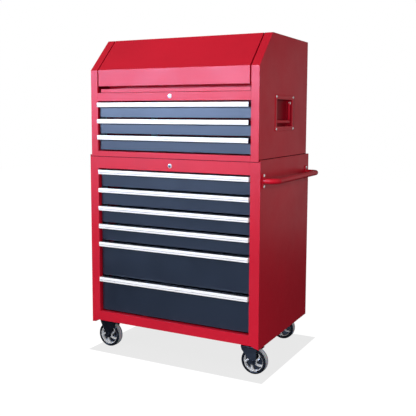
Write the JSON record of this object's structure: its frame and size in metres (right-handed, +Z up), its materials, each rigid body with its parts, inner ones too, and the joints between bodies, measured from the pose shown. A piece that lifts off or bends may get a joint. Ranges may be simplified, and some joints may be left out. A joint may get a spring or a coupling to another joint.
{
  "type": "rolling tool chest",
  "caption": "Stacked rolling tool chest: a drawered cabinet on casters with a side push handle, and a drawered top chest nested in its rim under a sloped, hinged lid.",
  "frame": {"origin": "middle of the overall footprint, push handle included, on the floor under the tyres", "axes": "+Z up, -Y out of the drawer fronts, +X towards the push handle"},
  "size_m": [1.0015, 0.6604, 1.566],
  "materials": {
    "cabinet_red": "satin powder coat",
    "drawer_navy": "satin powder coat",
    "pull_aluminium": "satin anodised",
    "lock_chrome": "polished",
    "slide_zinc": "zinc plated",
    "caster_black": "gloss black",
    "wheel_chrome": "plated five-spoke centre",
    "tyre_grey": "smooth grey tread",
    "strut_black": "satin black"
  },
  "bodies": {
    "chest_body": {"cabinet_shell": "cabinet_red", "cabinet_top": "cabinet_red", "cabinet_base": "cabinet_red", "cabinet_slide_rack_left": "slide_zinc", "cabinet_slide_rack_right": "slide_zinc", "chest_shell": "cabinet_red", "chest_floor": "cabinet_red", "chest_deck": "cabinet_red", "chest_slide_rack_left": "slide_zinc", "chest_slide_rack_right": "slide_zinc", "lid_hinge": "slide_zinc", "cabinet_lock_bezel": "lock_chrome", "chest_lock_bezel": "lock_chrome", "push_handle": "cabinet_red", "lift_pocket_left": "cabinet_red", "lift_pocket_right": "cabinet_red", "caster_front_left_fork": "caster_black", "caster_rear_left_fork": "caster_black", "caster_front_right_plate": "caster_black", "caster_rear_right_plate": "caster_black"},
    "chest_drawer_1_slider": {"chest_drawer_1": "drawer_navy", "chest_pull_1": "pull_aluminium"},
    "chest_drawer_2_slider": {"chest_drawer_2": "drawer_navy", "chest_pull_2": "pull_aluminium"},
    "chest_drawer_3_slider": {"chest_drawer_3": "drawer_navy", "chest_pull_3": "pull_aluminium"},
    "cabinet_drawer_1_slider": {"cabinet_drawer_1": "drawer_navy", "cabinet_pull_1": "pull_aluminium"},
    "cabinet_drawer_2_slider": {"cabinet_drawer_2": "drawer_navy", "cabinet_pull_2": "pull_aluminium"},
    "cabinet_drawer_3_slider": {"cabinet_drawer_3": "drawer_navy", "cabinet_pull_3": "pull_aluminium"},
    "cabinet_drawer_4_slider": {"cabinet_drawer_4": "drawer_navy", "cabinet_pull_4": "pull_aluminium"},
    "cabinet_drawer_5_slider": {"cabinet_drawer_5": "drawer_navy", "cabinet_pull_5": "pull_aluminium"},
    "cabinet_drawer_6_slider": {"cabinet_drawer_6": "drawer_navy", "cabinet_pull_6": "pull_aluminium"},
    "lid_body": {"lid": "cabinet_red"},
    "strut_left_cylinder_body": {"lid_strut_left_cylinder": "strut_black"},
    "strut_left_rod_body": {"lid_strut_left_rod": "lock_chrome"},
    "strut_right_cylinder_body": {"lid_strut_right_cylinder": "strut_black"},
    "strut_right_rod_body": {"lid_strut_right_rod": "lock_chrome"},
    "cabinet_lock_plug": {"cabinet_lock": "lock_chrome"},
    "chest_lock_plug": {"chest_lock": "lock_chrome"},
    "cabinet_lock_bar_body": {"cabinet_lock_bar": "slide_zinc"},
    "lift_handle_left_bail": {"lift_handle_left": "cabinet_red"},
    "lift_handle_right_bail": {"lift_handle_right": "cabinet_red"},
    "front_left_wheel_body": {"caster_front_left_wheel": "wheel_chrome", "caster_front_left_tyre": "tyre_grey"},
    "rear_left_wheel_body": {"caster_rear_left_wheel": "wheel_chrome", "caster_rear_left_tyre": "tyre_grey"},
    "front_right_wheel_body": {"caster_front_right_wheel": "wheel_chrome", "caster_front_right_tyre": "tyre_grey"},
    "front_right_fork_body": {"caster_front_right_fork": "caster_black"},
    "front_right_brake_body": {"caster_front_right_brake": "caster_black"},
    "rear_right_wheel_body": {"caster_rear_right_wheel": "wheel_chrome", "caster_rear_right_tyre": "tyre_grey"},
    "rear_right_fork_body": {"caster_rear_right_fork": "caster_black"},
    "rear_right_brake_body": {"caster_rear_right_brake": "caster_black"}
  },
  "joints": [
    {"name": "chest_drawer_1_slide", "type": "slide", "parent": "chest_body", "child": "chest_drawer_1_slider", "axis": [0, -1, 0], "range_m": [0, 0.46]},
    {"name": "chest_drawer_2_slide", "type": "slide", "parent": "chest_body", "child": "chest_drawer_2_slider", "axis": [0, -1, 0], "range_m": [0, 0.46]},
    {"name": "chest_drawer_3_slide", "type": "slide", "parent": "chest_body", "child": "chest_drawer_3_slider", "axis": [0, -1, 0], "range_m": [0, 0.46]},
    {"name": "cabinet_drawer_1_slide", "type": "slide", "parent": "chest_body", "child": "cabinet_drawer_1_slider", "axis": [0, -1, 0], "range_m": [0, 0.5]},
    {"name": "cabinet_drawer_2_slide", "type": "slide", "parent": "chest_body", "child": "cabinet_drawer_2_slider", "axis": [0, -1, 0], "range_m": [0, 0.5]},
    {"name": "cabinet_drawer_3_slide", "type": "slide", "parent": "chest_body", "child": "cabinet_drawer_3_slider", "axis": [0, -1, 0], "range_m": [0, 0.5]},
    {"name": "cabinet_drawer_4_slide", "type": "slide", "parent": "chest_body", "child": "cabinet_drawer_4_slider", "axis": [0, -1, 0], "range_m": [0, 0.5]},
    {"name": "cabinet_drawer_5_slide", "type": "slide", "parent": "chest_body", "child": "cabinet_drawer_5_slider", "axis": [0, -1, 0], "range_m": [0, 0.5]},
    {"name": "cabinet_drawer_6_slide", "type": "slide", "parent": "chest_body", "child": "cabinet_drawer_6_slider", "axis": [0, -1, 0], "range_m": [0, 0.5]},
    {"name": "lid_hinge_swing", "type": "hinge", "parent": "chest_body", "child": "lid_body", "pos_m": [-0.03825, 0.28575, 1.5625], "axis": [-1, 0, 0], "range_deg": [0, 60]},
    {"name": "strut_left_pivot", "type": "hinge", "parent": "chest_body", "child": "strut_left_cylinder_body", "pos_m": [-0.43625, 0.24525, 1.305], "axis": [1, 0, 0], "range_deg": [-4.75, 0]},
    {"name": "strut_left_stroke", "type": "slide", "parent": "strut_left_cylinder_body", "child": "strut_left_rod_body", "axis": [0, -0.1077, 0.9942], "range_m": [0, 0.06524]},
    {"name": "strut_right_pivot", "type": "hinge", "parent": "chest_body", "child": "strut_right_cylinder_body", "pos_m": [0.35975, 0.24525, 1.305], "axis": [1, 0, 0], "range_deg": [-4.75, 0]},
    {"name": "strut_right_stroke", "type": "slide", "parent": "strut_right_cylinder_body", "child": "strut_right_rod_body", "axis": [0, -0.1077, 0.9942], "range_m": [0, 0.06524]},
    {"name": "cabinet_lock_turn", "type": "hinge", "parent": "chest_body", "child": "cabinet_lock_plug", "pos_m": [-0.03825, -0.31475, 0.953], "axis": [0, -1, 0], "range_deg": [0, 90]},
    {"name": "chest_lock_turn", "type": "hinge", "parent": "chest_body", "child": "chest_lock_plug", "pos_m": [-0.03825, -0.31475, 1.2803], "axis": [0, -1, 0], "range_deg": [0, 90]},
    {"name": "cabinet_lock_bar_lift", "type": "slide", "parent": "chest_body", "child": "cabinet_lock_bar_body", "axis": [0, 0, 1], "range_m": [0, 0.0199]},
    {"name": "lift_handle_left_swing", "type": "hinge", "parent": "chest_body", "child": "lift_handle_left_bail", "pos_m": [-0.48025, -0.0065, 1.252], "axis": [0, 1, 0], "range_deg": [0, 90]},
    {"name": "lift_handle_right_swing", "type": "hinge", "parent": "chest_body", "child": "lift_handle_right_bail", "pos_m": [0.40375, -0.0065, 1.252], "axis": [0, -1, 0], "range_deg": [0, 90]},
    {"name": "caster_front_left_roll", "type": "hinge", "parent": "chest_body", "child": "front_left_wheel_body", "pos_m": [-0.42825, -0.25675, 0.0625], "axis": [0, 1, 0], "continuous": true},
    {"name": "caster_rear_left_roll", "type": "hinge", "parent": "chest_body", "child": "rear_left_wheel_body", "pos_m": [-0.42825, 0.27225, 0.0625], "axis": [0, 1, 0], "continuous": true},
    {"name": "caster_front_right_swivel", "type": "hinge", "parent": "chest_body", "child": "front_right_fork_body", "pos_m": [0.35175, -0.25675, 0.14], "axis": [0, 0, 1], "continuous": true},
    {"name": "caster_front_right_brake_press", "type": "hinge", "parent": "front_right_fork_body", "child": "front_right_brake_body", "pos_m": [0.38975, -0.25675, 0.1271], "axis": [0, 1, 0], "range_deg": [0, 6]},
    {"name": "caster_front_right_roll", "type": "hinge", "parent": "front_right_fork_body", "child": "front_right_wheel_body", "pos_m": [0.38275, -0.25675, 0.0625], "axis": [0, 1, 0], "continuous": true},
    {"name": "caster_rear_right_swivel", "type": "hinge", "parent": "chest_body", "child": "rear_right_fork_body", "pos_m": [0.35175, 0.27225, 0.14], "axis": [0, 0, 1], "continuous": true},
    {"name": "caster_rear_right_brake_press", "type": "hinge", "parent": "rear_right_fork_body", "child": "rear_right_brake_body", "pos_m": [0.31375, 0.27225, 0.1271], "axis": [0, -1, 0], "range_deg": [0, 6]},
    {"name": "caster_rear_right_roll", "type": "hinge", "parent": "rear_right_fork_body", "child": "rear_right_wheel_body", "pos_m": [0.32075, 0.27225, 0.0625], "axis": [0, 1, 0], "continuous": true}
  ],
  "couplings": [
    {"joint": "strut_left_pivot", "follows": "lid_hinge_swing", "ratio": -0.078411},
    {"joint": "strut_left_stroke", "follows": "lid_hinge_swing", "m_per_rad": 0.062107},
    {"joint": "strut_right_pivot", "follows": "lid_hinge_swing", "ratio": -0.078411},
    {"joint": "strut_right_stroke", "follows": "lid_hinge_swing", "m_per_rad": 0.062107},
    {"joint": "cabinet_lock_bar_lift", "follows": "cabinet_lock_turn", "m_per_rad": 0.012604}
  ]
}
